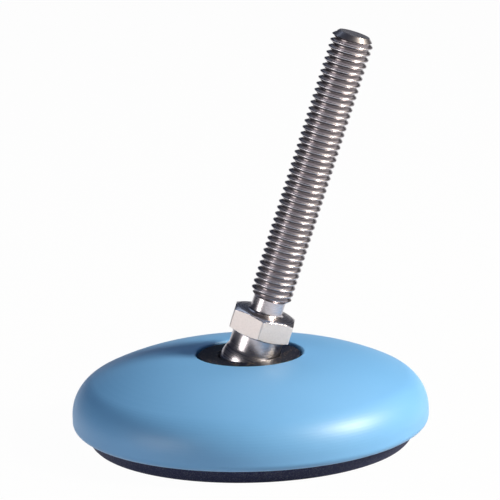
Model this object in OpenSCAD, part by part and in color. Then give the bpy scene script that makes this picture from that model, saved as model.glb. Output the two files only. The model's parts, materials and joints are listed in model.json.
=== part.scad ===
// Adjustable foot for furniture and machines. A domed plastic base stands on a rubber pad,
// and a ball-ended threaded spindle leans and turns in a socket that snaps into the base.
// Millimetres, +Z up, origin at the middle of the pad's face on the floor. The spindle leans to +X.

/* [Base] */
// Widest diameter of the domed base
base_d = 107.3; // [100:0.1:116]
// Height of the rim's underside above the floor
rim_z = 4.5; // [4:0.1:5.5]
// Height at which the upright side starts to round over
side_top = 8.6; // [7.6:0.1:9.4]
// Round on the rim's lower outer edge
rim_edge_r = 2.2; // [1:0.1:2.6]
// Radius of the shoulder between the side and the dome
shoulder_r = 11.5; // [10:0.1:13]
// Angle that the shoulder turns through before the dome takes over
shoulder_sweep = 63.8; // [61:0.2:67]
// Wall of the hollow base
wall = 4.5; // [3.5:0.1:5]
// Diameter of the hole in the top of the dome
hole_d = 32.2; // [31.4:0.1:34]
// Round on the hole's upper edge
hole_edge_r = 0.8; // [0.4:0.1:1.2]

/* [Underside] */
// Number of ribs between the hub and the side
rib_count = 10; // [6:1:14]
// Thickness of a rib
rib_t = 3; // [2:0.1:4]
// Wall of the hub outside the hole
hub_wall = 3.7; // [2.5:0.1:5]

/* [Rubber pad] */
// How far the pad's upper edge stands in from the base's side
pad_setback = 3; // [2.2:0.1:3.2]
// How far the pad's edge slopes in towards the floor
pad_slope = 2.2; // [0.5:0.1:3]
// Bevel between the pad's edge and its floor face
pad_bevel = 0.6; // [0.3:0.1:1]
// Width of the pad's tongue inside the rim
tongue_w = 3; // [2:0.1:4]
// Height of the tongue above the rim's underside
tongue_h = 2.9; // [2.6:0.1:3.4]
// Radius of the bead round the tongue
bead_r = 0.6; // [0.3:0.1:0.8]
// Number of grip grooves in the floor face
grip_count = 4; // [2:1:5]
// Width of a grip groove
grip_w = 2.2; // [1.2:0.1:3]
// Depth of a grip groove
grip_depth = 1.4; // [0.8:0.1:2]
// Radius of the plain land in the middle of the floor face
land_r = 14; // [10:0.5:18]

/* [Socket] */
// How far the flange lies below the top of the dome
flange_recess = 0.6; // [0.2:0.1:1]
// Thickness of the flange
flange_t = 2.6; // [2:0.1:3.2]
// Bevel on the flange's outer edge
flange_bevel = 0.5; // [0.2:0.1:0.8]
// Wall of the cup round the ball
cup_wall = 3.4; // [2.8:0.1:4]
// Floor of the cup under the ball
cup_floor = 2.6; // [2:0.1:3.4]
// Bevel on the cup's lower edge
cup_bevel = 1.2; // [0.5:0.1:2]
// Height of the flange's face above the centre of the ball
mouth_h = 2.9; // [2.4:0.1:3.2]
// Height of the snap lip above the centre of the ball
lip_h = 1.85; // [1.7:0.05:2]
// Bevel round the mouth
mouth_bevel = 0.3; // [0.1:0.1:0.4]
// Radius of the ridge that keeps the socket in the hub
ridge_r = 0.7; // [0.4:0.1:1]
// Height of the ridge above the cup's underside
ridge_h = 5; // [4:0.1:6.5]

/* [Spindle] */
// Lean of the spindle from upright, at its stop
lean = 18.5; // [14:0.1:20]
// Diameter of the ball
ball_d = 18.3; // [18.1:0.1:19]
// Diameter of the neck between the ball and the hexagon
neck_d = 15.6; // [14:0.1:15.7]
// Height of the hexagon's lower face above the centre of the ball
hex_z = 9.7; // [8.6:0.1:11]
// Height of the hexagon
hex_h = 6.9; // [5:0.1:9]
// Width of the hexagon across its flats
hex_af = 18.3; // [17:0.1:19]
// Round faces of the hexagon, as a share of its width across flats
hex_face_share = 0.95; // [0.9:0.01:0.98]
// Slope of the bevels at the hexagon's corners, in degrees
hex_bevel_slope = 23; // [16:1:40]
// Diameter of the undercut between the hexagon and the thread
undercut_d = 9.8; // [9:0.1:11]
// Length of the undercut
undercut_l = 4.6; // [3:0.1:7]
// Diameter over the thread's crests
stud_d = 12.7; // [12:0.1:13]
// Length of the threaded stud
stud_l = 83.6; // [40:0.1:110]
// Pitch of the thread
pitch = 1.954; // [1.25:0.001:2.2]
// Bevel where the thread starts above the undercut
stud_bevel = 1.3; // [0.8:0.1:1.6]
// Bevel at the free end of the thread
end_bevel = 1.7; // [0.8:0.1:2.4]

/* [Fits] */
// Gap between the flange and the hole
flange_gap = 0.4; // [0.2:0.1:0.6]
// Gap between the socket and the hub
swivel_clear = 0.15; // [0.1:0.05:0.2]
// Gap between the ball and its seat
ball_clear = 0.1; // [0.05:0.01:0.12]
// Gap left between the neck and the mouth at full lean
stop_clear = 0.3; // [0.2:0.05:0.4]
// Gap between the pad's tongue and the rim
pad_clear = 0.1; // [0.05:0.05:0.2]

/* [Hidden] */
$fn = 96;
// Steps along one rounded stretch of a turned outline
arc_steps = 14;

base_r = base_d / 2;
hole_r = hole_d / 2;
// Middle of the shoulder's curve, and the point where the dome takes over
shoulder_x = base_r - shoulder_r;
crown_x = shoulder_x + shoulder_r * cos(shoulder_sweep);
crown_z = side_top + shoulder_r * sin(shoulder_sweep);
// The dome carries on from the shoulder and is level at the hole
dome_r = (crown_x - hole_r) / cos(shoulder_sweep);
dome_mid_z = crown_z - dome_r * sin(shoulder_sweep);
dome_top = dome_mid_z + dome_r;
// The hole's rounded edge touches the dome at this angle
edge_mid_z = dome_mid_z + sqrt(pow(dome_r - hole_edge_r, 2) - pow(hole_edge_r, 2));
edge_angle = atan2(edge_mid_z - dome_mid_z, hole_edge_r);

// The socket hangs from the dome's top, and the ball sits below its mouth
flange_r = hole_r - flange_gap;
flange_z = dome_top - flange_recess;
flange_under = flange_z - flange_t;
ball_r = ball_d / 2;
ball_z = flange_z - mouth_h;
seat_r = ball_r + ball_clear;
cup_r = seat_r + cup_wall;
cup_under = ball_z - seat_r - cup_floor;
ridge_z = cup_under + ridge_h;
lip_angle = asin(lip_h / seat_r);
mouth_r = mouth_h * tan(lean) + neck_d / 2 / cos(lean) + stop_clear;
bore_r = cup_r + swivel_clear;
bore_floor = cup_under - swivel_clear;
bore_shelf = flange_under - swivel_clear;
hub_r = hole_r + hub_wall;

// The pad lies against the rim, and its tongue fills the groove inside it
inner_r = base_r - wall;
pad_top_r = base_r - pad_setback;
pad_floor_r = pad_top_r - pad_slope;
tongue_r = inner_r - pad_clear;
tongue_in_r = tongue_r - tongue_w;
bead_z = rim_z + tongue_h / 2;
grip_pitch = (pad_floor_r - pad_bevel - land_r) / grip_count;

// Stations along the spindle, from the centre of the ball
undercut_z = hex_z + hex_h;
stud_z = undercut_z + undercut_l;
stud_end = stud_z + stud_l;
stud_r = stud_d / 2;

// The thread has flanks at 60 degrees, crests an eighth of the pitch wide and roots a fifth
crest_w = pitch / 8;
root_w = pitch / 5;
thread_depth = (pitch - crest_w - root_w) / 2 / tan(30);
thread_z = stud_z + stud_bevel;
thread_turns = floor((stud_end - end_bevel - thread_z + crest_w / 4) / pitch);

// Points along an arc round (x, z)
function arc(x, z, r, from, to) =
    [for (i = [0 : arc_steps]) let (a = from + (to - from) * i / arc_steps) [x + r * cos(a), z + r * sin(a)]];

// Outside of the base, from the middle of its underside round to the middle of its bore
function base_outline() = concat(
    [[0, rim_z]],
    arc(base_r - rim_edge_r, rim_z + rim_edge_r, rim_edge_r, -90, 0),
    arc(shoulder_x, side_top, shoulder_r, 0, shoulder_sweep),
    arc(hole_r, dome_mid_z, dome_r, shoulder_sweep, edge_angle),
    arc(hole_r + hole_edge_r, edge_mid_z, hole_edge_r, edge_angle, 180),
    [[hole_r, bore_shelf], [bore_r, bore_shelf]],
    arc(bore_r, ridge_z, ridge_r, 90, -90),
    [[bore_r, bore_floor], [0, bore_floor]]
);

// Hollow under the dome, one wall inside its outline
function hollow_outline() = concat(
    [[0, 0], [inner_r, 0]],
    arc(shoulder_x, side_top, shoulder_r - wall, 0, shoulder_sweep),
    arc(hole_r, dome_mid_z, dome_r - wall, shoulder_sweep, 90),
    [[0, dome_top - wall]]
);

module hub() {
    translate([0, 0, rim_z]) cylinder(r = hub_r, h = dome_top - rim_z);
}

module ribs() {
    for (i = [0 : rib_count - 1])
        rotate(i * 360 / rib_count) translate([0, -rib_t / 2, rim_z]) cube([base_r, rib_t, dome_top]);
}

// Groove through the ribs that takes the pad's tongue and its bead
module tongue_groove() {
    rotate_extrude() {
        translate([tongue_in_r - pad_clear, 0])
            square([inner_r - tongue_in_r + pad_clear, rim_z + tongue_h + pad_clear]);
        translate([tongue_r, bead_z]) circle(bead_r + pad_clear);
    }
}

module base_body() {
    color("#4a94d4")
        difference() {
            rotate_extrude() polygon(base_outline());
            difference() {
                rotate_extrude() polygon(hollow_outline());
                hub();
                ribs();
            }
            tongue_groove();
        }
}

module rubber_pad() {
    color("#1b1f2b")
        difference() {
            rotate_extrude()
                polygon(concat(
                    [[0, 0], [pad_floor_r - pad_bevel, 0], [pad_floor_r, pad_bevel],
                     [pad_top_r, rim_z], [tongue_r, rim_z]],
                    arc(tongue_r, bead_z, bead_r, -90, 90),
                    [[tongue_r, rim_z + tongue_h], [tongue_in_r, rim_z + tongue_h],
                     [tongue_in_r, rim_z], [0, rim_z]]
                ));
            rotate_extrude()
                for (i = [0 : grip_count - 1])
                    translate([land_r + i * grip_pitch, -grip_depth]) square([grip_w, 2 * grip_depth]);
        }
}

module ball_socket() {
    color("#16181c")
        rotate_extrude()
            polygon(concat(
                [[0, cup_under], [cup_r - cup_bevel, cup_under], [cup_r, cup_under + cup_bevel]],
                arc(cup_r, ridge_z, ridge_r - swivel_clear, -90, 90),
                [[cup_r, flange_under], [flange_r, flange_under],
                 [flange_r, flange_z - flange_bevel], [flange_r - flange_bevel, flange_z],
                 [mouth_r + mouth_bevel, flange_z], [mouth_r, flange_z - mouth_bevel]],
                arc(0, ball_z, seat_r, lip_angle, -90)
            ));
}

// Hexagon with the bevels that turning leaves at its corners
module hexagon() {
    corner_r = hex_af / 2 / cos(30);
    face_r = hex_face_share * hex_af / 2;
    bevel_h = (corner_r - face_r) * tan(hex_bevel_slope);
    intersection() {
        rotate(30) cylinder(r = corner_r, h = hex_h, $fn = 6);
        rotate_extrude()
            polygon([[0, 0], [face_r, 0], [corner_r, bevel_h], [corner_r, hex_h - bevel_h],
                     [face_r, hex_h], [0, hex_h]]);
    }
}

// One groove of the thread, with its middle at height z
function thread_groove(z) = [
    [stud_r, z - (pitch - crest_w) / 2], [stud_r - thread_depth, z - root_w / 2],
    [stud_r - thread_depth, z + root_w / 2], [stud_r, z + (pitch - crest_w) / 2]
];

// Outline of the stud, with the thread's section drawn as one ring for each turn
function stud_outline() = concat(
    [[0, stud_z], [stud_r - stud_bevel, stud_z], [stud_r, thread_z]],
    [for (i = [0 : thread_turns - 1]) each thread_groove(thread_z + (i + 0.5) * pitch)],
    [[stud_r, stud_end - end_bevel], [stud_r - end_bevel, stud_end], [0, stud_end]]
);

// The spindle upright, with the centre of its ball at the origin
module upright_spindle() {
    sphere(r = ball_r);
    cylinder(d = neck_d, h = hex_z + hex_h / 2);
    translate([0, 0, hex_z]) hexagon();
    translate([0, 0, hex_z + hex_h / 2]) cylinder(d = undercut_d, h = hex_h / 2 + undercut_l + stud_bevel);
    rotate_extrude() polygon(stud_outline());
}

module spindle() {
    color("#a39b95")
        translate([0, 0, ball_z]) rotate([0, lean, 0]) upright_spindle();
}

base_body();
rubber_pad();
ball_socket();
spindle();
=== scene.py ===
# %% [markdown]
# # An adjustable foot: plastic dome, rubber pad, black socket and a threaded steel spindle
#
# The CAD model already holds every piece at its real size and place. This lesson gives the pieces
# their finish: a moulded satin plastic, a dull rubber, a darker plastic for the socket, and a turned
# steel spindle with a real screw thread. The frame is loaded first, because later sizes and places
# are read from it where it gives them.

# %% Load the frame
import json
import math

import bmesh
import bpy
from mathutils import Matrix, Vector


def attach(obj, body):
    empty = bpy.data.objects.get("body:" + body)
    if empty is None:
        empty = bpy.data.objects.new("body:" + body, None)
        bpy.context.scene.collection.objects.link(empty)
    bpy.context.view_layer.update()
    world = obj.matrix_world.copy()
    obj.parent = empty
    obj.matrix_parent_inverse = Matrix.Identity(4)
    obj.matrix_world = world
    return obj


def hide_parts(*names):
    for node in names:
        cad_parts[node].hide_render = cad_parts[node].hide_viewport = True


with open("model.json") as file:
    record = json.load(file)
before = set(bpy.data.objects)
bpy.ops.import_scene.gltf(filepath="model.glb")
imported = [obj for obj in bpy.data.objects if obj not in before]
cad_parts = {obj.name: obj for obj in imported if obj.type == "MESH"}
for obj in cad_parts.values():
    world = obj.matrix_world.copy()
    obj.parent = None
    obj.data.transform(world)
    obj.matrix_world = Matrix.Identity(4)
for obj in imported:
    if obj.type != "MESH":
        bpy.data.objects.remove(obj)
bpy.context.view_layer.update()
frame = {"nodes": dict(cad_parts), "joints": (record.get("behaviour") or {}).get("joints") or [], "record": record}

MM = 0.001
joints = {joint["name"]: joint for joint in frame["joints"]}
mounts = {mount["name"]: mount for mount in frame["record"]["mounts"]}
ball_centre = Vector(joints["spindle_tilt"]["pos_m"])
spindle_axis = Vector(mounts["stud"]["axis"]).normalized()
lean = math.atan2(spindle_axis.x, spindle_axis.z)
print("lean of the spindle", round(math.degrees(lean), 2), "degrees")

# %% [markdown]
# ## The studio
#
# The camera stands low, a little to the right of the plane in which the spindle leans, and far enough
# away that the base hardly shows perspective. It could be turned by three angles. Here it looks from
# one point to another instead, because then only the small roll is left as an angle.

# %% Camera
UP = Vector((0, 0, 1))
CAMERA_AZIMUTH = math.radians(3.6)
CAMERA_ELEVATION = math.radians(16.4)
CAMERA_DISTANCE = 906.6 * MM
CAMERA_ROLL = math.radians(-1.44)
CAMERA_LENS = 215.6
SENSOR_WIDTH = 36.0
NEAREST_SEEN = 10 * MM
AIM_HEIGHT = 57.53 * MM
AIM_SIDE = 1.04 * MM


def way_out(azimuth, elevation):
    """The direction at an angle round the foot, 0 in front, and an angle up."""
    level = Vector((math.sin(azimuth), -math.cos(azimuth), 0))
    return math.cos(elevation) * level + math.sin(elevation) * UP


def facing(place, target, roll=0.0):
    """Matrix of something at place that looks at target along its own -Z."""
    ahead = (target - place).normalized()
    right = ahead.cross(UP).normalized()
    up = right.cross(ahead)
    turn = Matrix((right, up, -ahead)).transposed() @ Matrix.Rotation(roll, 3, "Z")
    return Matrix.Translation(place) @ turn.to_4x4()


eye = CAMERA_DISTANCE * way_out(CAMERA_AZIMUTH, CAMERA_ELEVATION)
sideways = Vector((math.cos(CAMERA_AZIMUTH), math.sin(CAMERA_AZIMUTH), 0))
aim = AIM_SIDE * sideways + AIM_HEIGHT * UP
camera = bpy.data.objects.new("camera", bpy.data.cameras.new("camera"))
camera.data.lens = CAMERA_LENS
camera.data.sensor_width = SENSOR_WIDTH
camera.data.clip_start = NEAREST_SEEN
camera.matrix_world = facing(eye, aim, CAMERA_ROLL)
bpy.context.scene.collection.objects.link(camera)
bpy.context.scene.camera = camera
print("camera at", [round(v, 3) for v in eye])

# %% [markdown]
# Four softboxes light the foot. Each is placed by its angle round from the camera, positive to the
# right, and its angle above the floor. The key stands on the right, so the spindle throws its shadow
# over the left of the dome and the front right of the shoulder shines. A box high up behind opens the
# shade. Two strips in front draw bright bands down the steel. Point lamps could light the plastic as
# well, but steel mirrors the shape of a lamp, so these are area lamps.

# %% Lights
WARM = (1.0, 0.912, 0.73)
COOL = (0.68, 0.82, 1.0)
NEUTRAL = (1.0, 0.965, 0.91)
LIGHT_TARGET = Vector((0, 0, 40 * MM))
LIGHT_DISTANCE = 0.8
# name, degrees round from the camera, degrees up, width and height in metres, watts, colour
SOFTBOXES = [
    ("key_box", 75, 33, 0.2, 0.2, 10.8, WARM),
    ("left_strip", -57, 10, 0.34, 0.4, 2.2, NEUTRAL),
    ("right_strip", 58, 10, 0.2, 0.4, 0.4, NEUTRAL),
    ("back_box", 155, 55, 0.8, 0.5, 1.2, COOL),
]


def softbox(name, turn, rise, width, height, power, colour):
    """A rectangular lamp that looks at the foot."""
    lamp = bpy.data.lights.new(name, "AREA")
    lamp.shape = "RECTANGLE"
    lamp.size = width
    lamp.size_y = height
    lamp.energy = power
    lamp.color = colour
    way = way_out(CAMERA_AZIMUTH + math.radians(turn), math.radians(rise))
    box = bpy.data.objects.new(name, lamp)
    box.matrix_world = facing(LIGHT_TARGET + LIGHT_DISTANCE * way, LIGHT_TARGET)
    bpy.context.scene.collection.objects.link(box)


for values in SOFTBOXES:
    softbox(*values)

# %% [markdown]
# The room, the floor and every finish are trees of nodes. They could be wired one link at a time.
# These helpers make one node each and wire it up, so that the trees below read as short sums.

# %% Node helpers
def node(tree, kind, **values):
    """A node with its named inputs or properties set."""
    made = tree.nodes.new(kind)
    for key, value in values.items():
        if key in made.inputs:
            made.inputs[key].default_value = value
        else:
            setattr(made, key, value)
    return made


def feed(tree, value, socket):
    """Links an input to the output of another node, or sets it to a plain value."""
    if isinstance(value, bpy.types.NodeSocket):
        tree.links.new(value, socket)
    else:
        socket.default_value = value


def maths(tree, operation, first, second):
    """One sum of two values, each a number or the output of another node."""
    made = node(tree, "ShaderNodeMath", operation=operation)
    feed(tree, first, made.inputs[0])
    feed(tree, second, made.inputs[1])
    return made.outputs[0]


def ramp(tree, value, start, end, ease="LINEAR"):
    """Goes from 0 to 1 as a value goes from start to end."""
    made = node(tree, "ShaderNodeMapRange", interpolation_type=ease)
    feed(tree, value, made.inputs["Value"])
    feed(tree, start, made.inputs["From Min"])
    feed(tree, end, made.inputs["From Max"])
    return made.outputs[0]


def shader_between(tree, share, first, second):
    """A shader that goes from the first to the second as share goes from 0 to 1."""
    made = node(tree, "ShaderNodeMixShader")
    for value, socket in zip((share, first, second), made.inputs):
        feed(tree, value, socket)
    return made.outputs[0]


def background_rays(tree):
    """Two outputs: 1 for what the camera sees itself, and 1 for what it sees in gloss or glass."""
    paths = node(tree, "ShaderNodeLightPath")
    gloss = paths.outputs["Is Glossy Ray"]
    glass = paths.outputs["Is Transmission Ray"]
    return paths.outputs["Is Camera Ray"], maths(tree, "MAXIMUM", gloss, glass)


print("node helpers ready")

# %% [markdown]
# The room is dim, so that the lamps alone shape the foot, but the camera sees a white backdrop. A
# brighter room could make it white, but its light would fade the shadow on the dome. So the white is
# only for the camera's own rays and, low down behind the foot, for what it sees in the steel. The rest
# of the room stays dim in the steel too.

# %% World
WHITE = (1, 1, 1, 1)
ROOM_GREY = (0.02, 0.023, 0.038, 1)
ROOM_STRENGTH = 1.0
# Where a ray's upward and backward shares put it on the backdrop that the steel shows
BACKDROP_TOP = 0.12
BACKDROP_EDGE = 0.6
BACKDROP_FULL = 0.9

world = bpy.data.worlds.new("studio")
bpy.context.scene.world = world
world.use_nodes = True
tree = world.node_tree
tree.nodes.clear()
by_camera, by_gloss = background_rays(tree)
way = node(tree, "ShaderNodeSeparateXYZ")
feed(tree, node(tree, "ShaderNodeTexCoord").outputs["Generated"], way.inputs[0])
low_down = ramp(tree, way.outputs["Z"], BACKDROP_TOP, 0.0, "SMOOTHSTEP")
behind = ramp(tree, way.outputs["Y"], BACKDROP_EDGE, BACKDROP_FULL, "SMOOTHSTEP")
seen_in_gloss = maths(tree, "MULTIPLY", by_gloss, maths(tree, "MULTIPLY", low_down, behind))
seen = maths(tree, "MAXIMUM", by_camera, seen_in_gloss)
room = node(tree, "ShaderNodeBackground", Color=ROOM_GREY, Strength=ROOM_STRENGTH)
backdrop = node(tree, "ShaderNodeBackground", Color=WHITE, Strength=1.0)
output = node(tree, "ShaderNodeOutputWorld")
feed(tree, shader_between(tree, seen, room.outputs[0], backdrop.outputs[0]), output.inputs[0])
print("world:", len(tree.nodes), "nodes")

# %% [markdown]
# The floor is a plain disc in light grey paint, which throws little light back on the dome. White
# paint would throw back more. The camera and the steel see it as white in the same way as the
# backdrop, apart from a small share that keeps the shadow. It lies a hair under the pad, so that the
# two faces don't flicker through each other, and it is clear from below, so that the underside of the
# foot can be looked at.

# %% Floor
FLOOR_RADIUS = 1.2
FLOOR_SEGMENTS = 96
FLOOR_COLOUR = (0.5, 0.5, 0.5, 1)
FLOOR_DROP = 0.05 * MM
SHADOW_SHARE = 0.02

floor_mesh = bpy.data.meshes.new("floor")
shape = bmesh.new()
bmesh.ops.create_circle(shape, cap_ends=True, segments=FLOOR_SEGMENTS, radius=FLOOR_RADIUS)
shape.to_mesh(floor_mesh)
shape.free()
floor = bpy.data.objects.new("floor", floor_mesh)
bpy.context.scene.collection.objects.link(floor)
floor.location.z = -FLOOR_DROP

floor_paint = bpy.data.materials.new("floor_paint")
floor_paint.use_nodes = True
tree = floor_paint.node_tree
tree.nodes.clear()
by_camera, by_gloss = background_rays(tree)
white_share = maths(tree, "MULTIPLY", maths(tree, "MAXIMUM", by_camera, by_gloss), 1 - SHADOW_SHARE)
paint = node(tree, "ShaderNodeBsdfDiffuse", Color=FLOOR_COLOUR)
glow = node(tree, "ShaderNodeEmission", Color=WHITE, Strength=1.0)
clear = node(tree, "ShaderNodeBsdfTransparent")
sides = node(tree, "ShaderNodeNewGeometry")
output = node(tree, "ShaderNodeOutputMaterial")
from_above = shader_between(tree, white_share, paint.outputs[0], glow.outputs[0])
one_way = shader_between(tree, sides.outputs["Backfacing"], from_above, clear.outputs[0])
feed(tree, one_way, output.inputs[0])
floor_mesh.materials.append(floor_paint)
print("floor radius", FLOOR_RADIUS, "m")

# %% [markdown]
# ## Effects that the finishes share
#
# Moulded plastic and rubber carry the fine spark-eroded grain of their mould, and their colour drifts
# in broad clouds. Each material could have its own noise, but then a change would have to be made
# several times. So the grain is one node group, and a material only says how coarse its grain is.

# %% Mould grain
FLOAT = "NodeSocketFloat"
VECTOR = "NodeSocketVector"
CLOUDS_PER_METRE = 38.0


def group(name, inputs, outputs):
    """An empty shader group with float or vector inputs and float outputs."""
    made = bpy.data.node_groups.new(name, "ShaderNodeTree")
    for label, kind, value in inputs:
        socket = made.interface.new_socket(label, in_out="INPUT", socket_type=kind)
        if value is not None:
            socket.default_value = value
    for label in outputs:
        made.interface.new_socket(label, in_out="OUTPUT", socket_type=FLOAT)
    return made, node(made, "NodeGroupInput"), node(made, "NodeGroupOutput")


mould_grain, given, result = group(
    "mould_grain",
    [("Vector", VECTOR, None), ("Grains per metre", FLOAT, 1500.0)],
    ["Grain", "Cloud"],
)
fine = node(mould_grain, "ShaderNodeTexNoise", Detail=3.0, Roughness=0.6)
broad = node(mould_grain, "ShaderNodeTexNoise", Scale=CLOUDS_PER_METRE, Detail=2.0)
feed(mould_grain, given.outputs["Vector"], fine.inputs["Vector"])
feed(mould_grain, given.outputs["Grains per metre"], fine.inputs["Scale"])
feed(mould_grain, given.outputs["Vector"], broad.inputs["Vector"])
feed(mould_grain, fine.outputs["Fac"], result.inputs["Grain"])
feed(mould_grain, broad.outputs["Fac"], result.inputs["Cloud"])
print("group:", mould_grain.name, len(mould_grain.nodes), "nodes")

# %% [markdown]
# A second group scatters specks, for dust on the socket and for pale bloom on the rubber. Cells of a
# Voronoi texture would give rounder dots. Only the peaks of a noise are kept here, because they come
# in uneven shapes, and the share says how far down the peaks count.

# %% Specks
# Level of the noise that counts as a peak when the share is 0, and the width of a speck's soft edge
SPECK_LEVEL = 0.72
SPECK_EDGE = 0.06

specks, given, result = group(
    "specks",
    [("Vector", VECTOR, None), ("Specks per metre", FLOAT, 1200.0), ("Share", FLOAT, 0.1)],
    ["Mask"],
)
scatter = node(specks, "ShaderNodeTexNoise", Detail=2.0, Roughness=0.7)
feed(specks, given.outputs["Vector"], scatter.inputs["Vector"])
feed(specks, given.outputs["Specks per metre"], scatter.inputs["Scale"])
lower = maths(specks, "SUBTRACT", SPECK_LEVEL, given.outputs["Share"])
upper = maths(specks, "ADD", lower, SPECK_EDGE)
mask = ramp(specks, scatter.outputs["Fac"], lower, upper, "SMOOTHSTEP")
feed(specks, mask, result.inputs["Mask"])
print("group:", specks.name, len(specks.nodes), "nodes")

# %% [markdown]
# ## The finishes
#
# A material starts as a Principled shader with its constants set on its own sockets. The helpers add
# what the materials have in common: object coordinates, a mix of two colours, a range for the
# roughness and a bump. One long tree for each would do as well, but most of it would be repeated.

# %% Material helpers
def finish(name, **constants):
    """A material with a Principled shader whose constants are set on its own sockets."""
    made = bpy.data.materials.new(name)
    made.use_nodes = True
    shader = made.node_tree.nodes["Principled BSDF"]
    for key, value in constants.items():
        shader.inputs[key.replace("_", " ")].default_value = value
    return made, made.node_tree, shader


def object_place(tree):
    """Coordinates of the object itself, in metres."""
    return node(tree, "ShaderNodeTexCoord").outputs["Object"]


def effect(tree, shared, where, **values):
    """The outputs of one use of a shared group, with its own values."""
    made = node(tree, "ShaderNodeGroup")
    made.node_tree = shared
    feed(tree, where, made.inputs["Vector"])
    for key, value in values.items():
        made.inputs[key.replace("_", " ")].default_value = value
    return made.outputs


def colour_between(tree, mask, low, high):
    """Mixes two colours by a mask. Each is a plain colour or the output of another node."""
    mix = node(tree, "ShaderNodeMix", data_type="RGBA")
    feed(tree, mask, mix.inputs["Factor"])
    ends = [socket for socket in mix.inputs if socket.type == "RGBA"]
    for colour, socket in zip((low, high), ends):
        feed(tree, colour, socket)
    return [socket for socket in mix.outputs if socket.type == "RGBA"][0]


def value_between(tree, mask, low, high):
    """Turns a mask from 0 to 1 into a value from low to high."""
    span = node(tree, "ShaderNodeMapRange")
    span.inputs["To Min"].default_value = low
    span.inputs["To Max"].default_value = high
    feed(tree, mask, span.inputs["Value"])
    return span.outputs[0]


def bump(tree, height, strength, distance):
    """A normal from a height."""
    made = node(tree, "ShaderNodeBump", Strength=strength, Distance=distance)
    feed(tree, height, made.inputs["Height"])
    return made.outputs[0]


def dress(material, shader, colour, roughness, normal):
    """Wires a colour, a roughness and a normal to a material's shader."""
    tree = material.node_tree
    feed(tree, colour, shader.inputs["Base Color"])
    feed(tree, roughness, shader.inputs["Roughness"])
    feed(tree, normal, shader.inputs["Normal"])
    print("finish:", material.name, len(tree.nodes), "nodes")


print("material helpers ready")

# %% [markdown]
# The base is glass-filled nylon in a clear mid blue. The mould's grain makes it satin, and its colour
# drifts a little where the melt flowed. Grain in the mesh would need millions of faces, and a flat
# colour would look like paint, so the grain is a bump that also breaks up the roughness.

# %% Blue plastic
BLUE_DEEP = (0.146, 0.386, 0.745, 1)
BLUE_LIGHT = (0.158, 0.408, 0.785, 1)
BLUE_ROUGHNESS = (0.40, 0.50)
# Each bump is a strength and the height of the grain
BLUE_BUMP = (0.3, 0.06 * MM)

blue_plastic, tree, shader = finish("blue_plastic", IOR=1.5, Specular_IOR_Level=0.56)
grain = effect(tree, mould_grain, object_place(tree), Grains_per_metre=2600.0)
colour = colour_between(tree, grain["Cloud"], BLUE_DEEP, BLUE_LIGHT)
roughness = value_between(tree, grain["Grain"], *BLUE_ROUGHNESS)
dress(blue_plastic, shader, colour, roughness, bump(tree, grain["Grain"], *BLUE_BUMP))

# %% [markdown]
# The pad is black rubber with a dull, faintly grey bloom, the wax that comes to its surface. Black
# alone would leave its edge a flat band, so the specks group scatters the bloom over it. A low
# specular level keeps it dull under the key.

# %% Black rubber
RUBBER_BLACK = (0.030, 0.036, 0.085, 1)
RUBBER_BLOOM = (0.072, 0.078, 0.13, 1)
RUBBER_ROUGHNESS = (0.55, 0.75)
RUBBER_BUMP = (0.3, 0.12 * MM)

black_rubber, tree, shader = finish("black_rubber", IOR=1.45, Specular_IOR_Level=0.08)
where = object_place(tree)
grain = effect(tree, mould_grain, where, Grains_per_metre=1700.0)
bloom = effect(tree, specks, where, Specks_per_metre=2400.0, Share=0.2)
colour = colour_between(tree, bloom["Mask"], RUBBER_BLACK, RUBBER_BLOOM)
roughness = value_between(tree, grain["Cloud"], *RUBBER_ROUGHNESS)
dress(black_rubber, shader, colour, roughness, bump(tree, grain["Grain"], *RUBBER_BUMP))

# %% [markdown]
# The socket is black acetal, smoother than the base, with a little dust on it. Grains of dust could be
# modelled, but at this size they would be lost, so the specks group turns small places of the surface
# pale instead.

# %% Black acetal
ACETAL_BLACK = (0.007, 0.010, 0.024, 1)
DUST = (0.34, 0.28, 0.21, 1)
ACETAL_ROUGHNESS = (0.24, 0.38)
ACETAL_BUMP = (0.1, 0.05 * MM)

black_acetal, tree, shader = finish("black_acetal", IOR=1.48, Specular_IOR_Level=0.3)
where = object_place(tree)
grain = effect(tree, mould_grain, where, Grains_per_metre=2000.0)
dust = effect(tree, specks, where, Specks_per_metre=1500.0, Share=0.10)
colour = colour_between(tree, dust["Mask"], ACETAL_BLACK, DUST)
roughness = value_between(tree, grain["Cloud"], *ACETAL_ROUGHNESS)
dress(black_acetal, shader, colour, roughness, bump(tree, grain["Grain"], *ACETAL_BUMP))

# %% [markdown]
# The stud of the spindle has thirteen turns of thread to the inch. Its length, its radius and its place
# along the spindle come from the mount in the frame, so that they can't drift from the CAD model. They
# stand here because the steel gets painted shade in the grooves and has to know where those are.

# %% Sizes of the stud
INCH = 25.4 * MM
THREADS_PER_INCH = 13
PITCH = INCH / THREADS_PER_INCH
STUD_RADIUS = mounts["stud"]["dims"]["r_mm"] * MM
START_BEVEL = 1.3 * MM
END_BEVEL = 1.7 * MM
# Places over half a pitch, from the middle of a crest to the middle of a groove, and the depth there,
# both in pitches
THREAD_FORM = [
    (0, 0),
    (0.055, 0.004),
    (0.095, 0.03),
    (0.25, 0.29),
    (0.405, 0.55),
    (0.445, 0.59),
    (0.5, 0.60),
]
THREAD_DEPTH = THREAD_FORM[-1][1] * PITCH

plain_length = mounts["stud"]["dims"]["length_mm"] * MM
stud_middle = (Vector(mounts["stud"]["pos_m"]) - ball_centre).dot(spindle_axis)
stud_start = stud_middle - plain_length / 2 - START_BEVEL
stud_end = stud_middle + plain_length / 2 + END_BEVEL
print("stud from", round(stud_start / MM, 2), "to", round(stud_end / MM, 2), "mm from the ball's centre")
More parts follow.
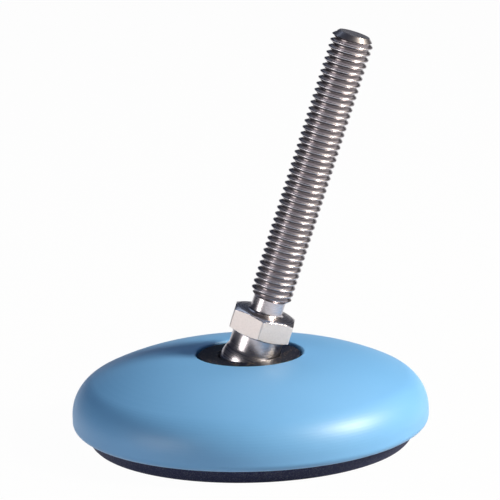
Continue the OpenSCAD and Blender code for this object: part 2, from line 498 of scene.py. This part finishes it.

# %% [markdown]
# The spindle is turned from stainless bar. The tool leaves fine rings round the axis, so its finish is
# worked out in the spindle's own directions: a mapping undoes its place and its lean, and the rings
# follow the distance along the axis plus the distance from it. An anisotropic shader could stretch the
# highlights too, but it needs tangents that follow the lean. The grooves of the thread get painted
# shade, darker than the crests by how deep a point lies, between the two ends of the thread.

# %% Turned steel
STEEL = (0.75, 0.715, 0.765, 1)
STEEL_DARK = (0.41, 0.38, 0.405, 1)
# Colour of the painted shade in the thread's grooves
GROOVE_PAINTED_SHADE = (0.30, 0.268, 0.276, 1)
# Share of the thread's depth at which the painted shade in the grooves begins
PAINTED_SHADE_BEGINS = 0.35
TOOL_MARKS_PER_METRE = 5200.0
STEEL_ROUGHNESS = (0.21, 0.36)
STEEL_BUMP = (0.18, 0.02 * MM)


def spindle_place(tree):
    """Coordinates along the upright spindle, from the centre of its ball."""
    upright = node(tree, "ShaderNodeMapping", vector_type="TEXTURE")
    upright.inputs["Location"].default_value = ball_centre
    upright.inputs["Rotation"].default_value = (0, lean, 0)
    feed(tree, object_place(tree), upright.inputs["Vector"])
    return upright.outputs[0]


turned_steel, tree, shader = finish("turned_steel", Metallic=1.0)
where = spindle_place(tree)
parts = node(tree, "ShaderNodeSeparateXYZ")
across = node(tree, "ShaderNodeCombineXYZ")
distance = node(tree, "ShaderNodeVectorMath", operation="LENGTH")
feed(tree, where, parts.inputs[0])
feed(tree, parts.outputs["X"], across.inputs["X"])
feed(tree, parts.outputs["Y"], across.inputs["Y"])
feed(tree, across.outputs[0], distance.inputs[0])
along = parts.outputs["Z"]
radius = distance.outputs["Value"]

# Painted shade: the grooves of the thread turn darker with their depth
depth = ramp(tree, radius, STUD_RADIUS - PAINTED_SHADE_BEGINS * THREAD_DEPTH, STUD_RADIUS - THREAD_DEPTH)
past_start = maths(tree, "GREATER_THAN", along, stud_start)
before_end = maths(tree, "LESS_THAN", along, stud_end - END_BEVEL)
groove_painted_shade = maths(tree, "MULTIPLY", depth, maths(tree, "MULTIPLY", past_start, before_end))
stain = effect(tree, mould_grain, where, Grains_per_metre=420.0)
bare = colour_between(tree, stain["Grain"], STEEL_DARK, STEEL)
colour = colour_between(tree, groove_painted_shade, bare, GROOVE_PAINTED_SHADE)

tool_marks = node(tree, "ShaderNodeTexNoise", noise_dimensions="1D", Detail=2.0)
tool_marks.inputs["Scale"].default_value = TOOL_MARKS_PER_METRE
feed(tree, maths(tree, "ADD", along, radius), tool_marks.inputs["W"])
marks = tool_marks.outputs["Fac"]
roughness = value_between(tree, marks, *STEEL_ROUGHNESS)
dress(turned_steel, shader, colour, roughness, bump(tree, marks, *STEEL_BUMP))

# %% [markdown]
# The six flats of the hexagon keep the drawn skin of the bar, which is paler and rougher than the
# turned faces and has no rings. Skin that is part oxide mirrors less than clean steel, so it is only
# partly metallic. It is a second material on the same mesh, because the flats as an object of their
# own would leave seams along the edges.

# %% Bar steel
BAR_DARK = (0.68, 0.61, 0.60, 1)
BAR_PALE = (0.88, 0.81, 0.795, 1)
BAR_ROUGHNESS = (0.42, 0.60)
BAR_BUMP = (0.35, 0.06 * MM)

bar_steel, tree, shader = finish("bar_steel", Metallic=0.6)
grain = effect(tree, mould_grain, spindle_place(tree), Grains_per_metre=1900.0)
colour = colour_between(tree, grain["Grain"], BAR_DARK, BAR_PALE)
roughness = value_between(tree, grain["Grain"], *BAR_ROUGHNESS)
dress(bar_steel, shader, colour, roughness, bump(tree, grain["Grain"], *BAR_BUMP))

# %% [markdown]
# ## The moulded pieces
#
# The base, the pad and the socket have their true shape in CAD already. They could be modelled again
# here, but nothing would be gained, so they stay and only change material.

# %% Finish on the CAD pieces
MOULDED = {
    "base_body": blue_plastic,
    "rubber_pad": black_rubber,
    "ball_socket": black_acetal,
}

for name, material in MOULDED.items():
    mesh = frame["nodes"][name].data
    mesh.materials.clear()
    mesh.materials.append(material)
    print(name, len(mesh.polygons), "faces,", material.name)

# %% [markdown]
# ## The spindle
#
# In CAD the thread is a row of rings, one for each turn. A real thread climbs, so the spindle is made
# again here with a right-hand helix of the same section. Blender's Screw modifier could sweep it, but
# its ends would stay open. Instead, rows of points follow the helix, one set of rows for each pitch,
# so the crests stay sharp all the way round. Each shape is first made upright with the centre of the
# ball at the origin.

# %% Screw
STEPS_PER_TURN = 96
# Turns more than the stud needs, and how many turns below it the screw starts
SPARE_TURNS = 2
TURNS_BELOW = 1.5


def thread_rows():
    """The thread's form over a whole pitch, as (share of pitch, depth)."""
    back = [(1 - share, depth) for share, depth in reversed(THREAD_FORM[1:-1])]
    return [(share, depth * PITCH) for share, depth in THREAD_FORM + back]


def point(shape, radius, angle, height):
    """A point of a shape, at a distance from the axis and an angle round it."""
    return shape.verts.new((radius * math.cos(angle), radius * math.sin(angle), height))


def mesh_object(name, shape):
    """An object from a bmesh, which is then freed."""
    mesh = bpy.data.meshes.new(name)
    bmesh.ops.recalc_face_normals(shape, faces=shape.faces)
    shape.to_mesh(mesh)
    shape.free()
    made = bpy.data.objects.new(name, mesh)
    bpy.context.scene.collection.objects.link(made)
    return made


def screw(low, high):
    """A long right-hand screw along Z with rough ends, from below low to above high."""
    rows = thread_rows()
    turns = math.ceil((high - low) / PITCH) + SPARE_TURNS
    shape = bmesh.new()
    levels = []
    for turn in range(turns):
        for share, depth in rows:
            level = []
            for step in range(STEPS_PER_TURN):
                climb = turn - TURNS_BELOW + share + step / STEPS_PER_TURN
                angle = 2 * math.pi * step / STEPS_PER_TURN
                level.append(point(shape, STUD_RADIUS - depth, angle, low + PITCH * climb))
            levels.append(level)
    last = STEPS_PER_TURN - 1
    for a, b in zip(levels, levels[1:]):
        for step in range(last):
            shape.faces.new((a[step], a[step + 1], b[step + 1], b[step]))
    # The last step of each turn meets the first step of the next turn, one set of rows further on
    onward = levels[len(rows):]
    for a, b, c, d in zip(levels, levels[1:], onward, onward[1:]):
        shape.faces.new((a[last], c[0], d[0], b[last]))
    open_edges = [edge for edge in shape.edges if edge.is_boundary]
    for end in bmesh.ops.holes_fill(shape, edges=open_edges)["faces"]:
        end.normal_update()
    bmesh.ops.triangulate(shape, faces=[face for face in shape.faces if len(face.verts) > 4])
    return mesh_object("screw", shape)


spindle = screw(stud_start, stud_end)
print("screw", len(spindle.data.polygons), "faces")

# %% [markdown]
# The rough ends of the screw are cut to length and bevelled. Moving its last points would bend the
# thread, so a turned outline that stands a little proud of the crests is intersected with it, as a
# lathe faces and bevels a bar.

# %% Cut to length
OUTLINE_STEPS = 192
PROUD = 0.2 * MM


def skin(shape, levels):
    """Joins each closed level of points to the next with a band of faces."""
    for a, b in zip(levels, levels[1:]):
        for step in range(len(a)):
            after = (step + 1) % len(a)
            shape.faces.new((a[step], a[after], b[after], b[step]))


def turned(name, outline):
    """A solid of revolution about Z with flat ends, from (radius, height) points."""
    angles = [2 * math.pi * step / OUTLINE_STEPS for step in range(OUTLINE_STEPS)]
    shape = bmesh.new()
    levels = [[point(shape, r, angle, z) for angle in angles] for r, z in outline]
    skin(shape, levels)
    for level in (levels[0], levels[-1]):
        shape.faces.new(level)
    return mesh_object(name, shape)


def combined(piece, other, how):
    """Joins or cuts one closed mesh with another, and deletes the other."""
    step = piece.modifiers.new(how.lower(), "BOOLEAN")
    step.operation = how
    step.solver = "MANIFOLD"
    step.object = other
    graph = bpy.context.evaluated_depsgraph_get()
    mesh = bpy.data.meshes.new_from_object(piece.evaluated_get(graph))
    piece.modifiers.clear()
    piece.data = mesh
    bpy.data.objects.remove(other)
    return piece


bevelled = turned("bevelled", [
    (STUD_RADIUS - START_BEVEL, stud_start),
    (STUD_RADIUS + PROUD, stud_start + START_BEVEL + PROUD),
    (STUD_RADIUS + PROUD, stud_end - END_BEVEL - PROUD),
    (STUD_RADIUS - END_BEVEL, stud_end),
])
spindle = combined(spindle, bevelled, "INTERSECT")
print("stud", len(spindle.data.polygons), "faces")

# %% [markdown]
# The head below the thread has a ball, a neck, a hexagon and an undercut. It is one turned piece, apart
# from the six flats, which are left from the bar. Its outline is a list of levels, each with a height
# and a turned radius, closer together where the outline curves. A curve object could hold it too, but
# plain numbers are easier to set beside the CAD model.

# %% Outline of the head
BALL_RADIUS = 9.15 * MM
NECK_RADIUS = 7.8 * MM
HEX_LOW = 9.7 * MM
HEX_HIGH = 16.6 * MM
HEX_FLATS = 18.3 * MM
HEX_FACE_SHARE = 0.95
HEX_BEVEL = math.radians(23)
UNDERCUT_RADIUS = 4.9 * MM
UNDERCUT_FILLET = 0.9 * MM
CORNER_BLUNT = 0.1 * MM
HEX_SIDES = 6
# Degrees round the axis over one flat, and over half of it
HEX_TURN = 360 / HEX_SIDES
HALF_TURN = HEX_TURN / 2
BALL_LEVELS = 28
EDGE_LEVELS = 8

hex_face_radius = HEX_FACE_SHARE * HEX_FLATS / 2
hex_corner = HEX_FLATS / 2 / math.cos(math.radians(HALF_TURN)) - CORNER_BLUNT
bevel_height = (hex_corner - hex_face_radius) * math.tan(HEX_BEVEL)


def head_levels():
    """(height, turned radius) from the bottom of the ball to inside the stud."""
    levels = []
    neck_angle = math.acos(NECK_RADIUS / BALL_RADIUS)
    for i in range(1, BALL_LEVELS + 1):
        angle = -math.pi / 2 + (neck_angle + math.pi / 2) * i / BALL_LEVELS
        levels.append((BALL_RADIUS * math.sin(angle), BALL_RADIUS * math.cos(angle)))
    levels.append((HEX_LOW, NECK_RADIUS))
    rises = [bevel_height * i / EDGE_LEVELS for i in range(EDGE_LEVELS + 1)]
    for rise in rises:
        levels.append((HEX_LOW + rise, hex_face_radius + rise / math.tan(HEX_BEVEL)))
    for rise in reversed(rises):
        levels.append((HEX_HIGH - rise, hex_face_radius + rise / math.tan(HEX_BEVEL)))
    for i in range(EDGE_LEVELS + 1):
        angle = math.pi / 2 * i / EDGE_LEVELS
        height = HEX_HIGH + UNDERCUT_FILLET * (1 - math.cos(angle))
        levels.append((height, UNDERCUT_RADIUS + UNDERCUT_FILLET * (1 - math.sin(angle))))
    levels.append((stud_start + PITCH, UNDERCUT_RADIUS))
    return levels


print("head outline", len(head_levels()), "levels")

# %% [markdown]
# A hexagonal prism could be intersected with the turned outline, but that can leave thin faces where
# the bevels run out on the flats. So each level is a ring of points, and each point takes the smaller
# of the bar's hexagon and the turned radius at its angle. The rings are closed at the bottom of the
# ball and inside the stud, and the head is joined to the stud.

# %% Head
# Degrees over one flat from corner to corner, closer together at the corners
FLAT_ANGLES = [0, 0.5, 1.0, 1.6, 3, 6, 10, 15, 20, 25, 30, 35, 40, 45, 50, 54, 57, 58.4, 59, 59.5]
head_angles = []
for side in range(HEX_SIDES):
    head_angles += [math.radians(HALF_TURN + HEX_TURN * side + a) for a in FLAT_ANGLES]


def bar_radius(angle):
    """Distance from the axis to the hexagonal bar's surface, with its corners a little blunt."""
    from_flat = (math.degrees(angle) - HALF_TURN) % HEX_TURN - HALF_TURN
    return min(HEX_FLATS / 2 / math.cos(math.radians(from_flat)), hex_corner)


shape = bmesh.new()
levels = []
for z, r in head_levels():
    levels.append([point(shape, min(r, bar_radius(angle)), angle, z) for angle in head_angles])
skin(shape, levels)
pole = shape.verts.new((0, 0, -BALL_RADIUS))
lowest = levels[0]
for a, b in zip(lowest, lowest[1:] + lowest[:1]):
    shape.faces.new((pole, b, a))
shape.faces.new(levels[-1])
head = mesh_object("head", shape)
print("head", len(head.data.polygons), "faces")
spindle = combined(spindle, head, "UNION")

# %% [markdown]
# The finished spindle is tipped to its lean, takes the two steels by where a face lies and which way it
# looks, and replaces the CAD piece. The object could be turned instead of its mesh, but then its
# coordinates would differ from those of the CAD pieces, which all share the frame's.

# %% Spindle in place
SHARP_ANGLE = math.radians(32)
# A flat of the hexagon looks straight out from the axis, within these limits
FLAT_TIP = 0.1
FLAT_OUTWARD = 0.8


def on_flat(face):
    """Whether a face of the upright spindle belongs to one of the six flats."""
    outward = Vector((face.center.x, face.center.y, 0)).normalized().dot(face.normal)
    looks_out = abs(face.normal.z) < FLAT_TIP and outward > FLAT_OUTWARD
    return looks_out and HEX_LOW < face.center.z < HEX_HIGH


spindle.name = "spindle_threaded"
mesh = spindle.data
mesh.materials.clear()
mesh.materials.append(turned_steel)
mesh.materials.append(bar_steel)
for face in mesh.polygons:
    face.material_index = 1 if on_flat(face) else 0
mesh.transform(Matrix.Translation(ball_centre) @ Matrix.Rotation(lean, 4, "Y"))
mesh.shade_smooth()
mesh.set_sharp_from_angle(angle=SHARP_ANGLE)
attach(spindle, "spindle")
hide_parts("spindle")
print("spindle", len(mesh.polygons), "faces")

# %% [markdown]
# ## Closing
#
# The view settings stay plain, so that a colour renders about as it is written.

# %% Finish
bpy.context.scene.view_settings.view_transform = "Standard"
